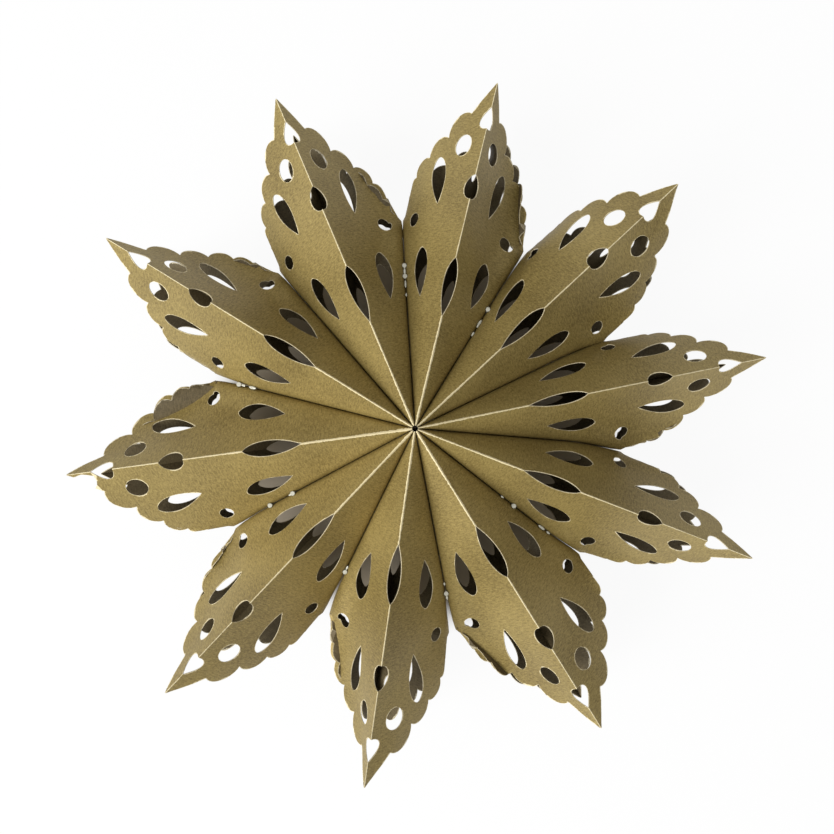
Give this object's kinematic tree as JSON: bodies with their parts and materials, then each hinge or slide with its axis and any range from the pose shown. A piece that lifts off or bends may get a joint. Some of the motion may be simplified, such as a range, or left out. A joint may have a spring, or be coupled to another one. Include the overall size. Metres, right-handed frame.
{
  "type": "folded paper star",
  "caption": "Folding paper star opened into a full circle: glued die-cut card pockets with ridged petals, scalloped edges and leaf and round cut-outs.",
  "frame": {"origin": "on the star's axis, level with the lowest point of its back hub, on which it lies", "axes": "+Z along the star's axis, out of its front; +X to the right and +Y up as the front is looked at, with petal 2 nearly up"},
  "size_m": [0.2974, 0.2957, 0.09],
  "materials": {
    "gold_card": "olive-gold card with a fine grain and a soft metallic sheen, pale where the folds are worn",
    "glue": "dried clear to whitish paper glue"
  },
  "bodies": {
    "root": {"petal_01": "gold_card", "petal_02": "gold_card", "petal_03": "gold_card", "petal_04": "gold_card", "petal_05": "gold_card", "petal_06": "gold_card", "petal_07": "gold_card", "petal_08": "gold_card", "petal_09": "gold_card", "petal_10": "gold_card", "glue_seam_01": "glue", "glue_seam_02": "glue", "glue_seam_03": "glue", "glue_seam_04": "glue", "glue_seam_05": "glue", "glue_seam_06": "glue", "glue_seam_07": "glue", "glue_seam_08": "glue", "glue_seam_09": "glue", "glue_seam_10": "glue"}
  },
  "joints": []
}
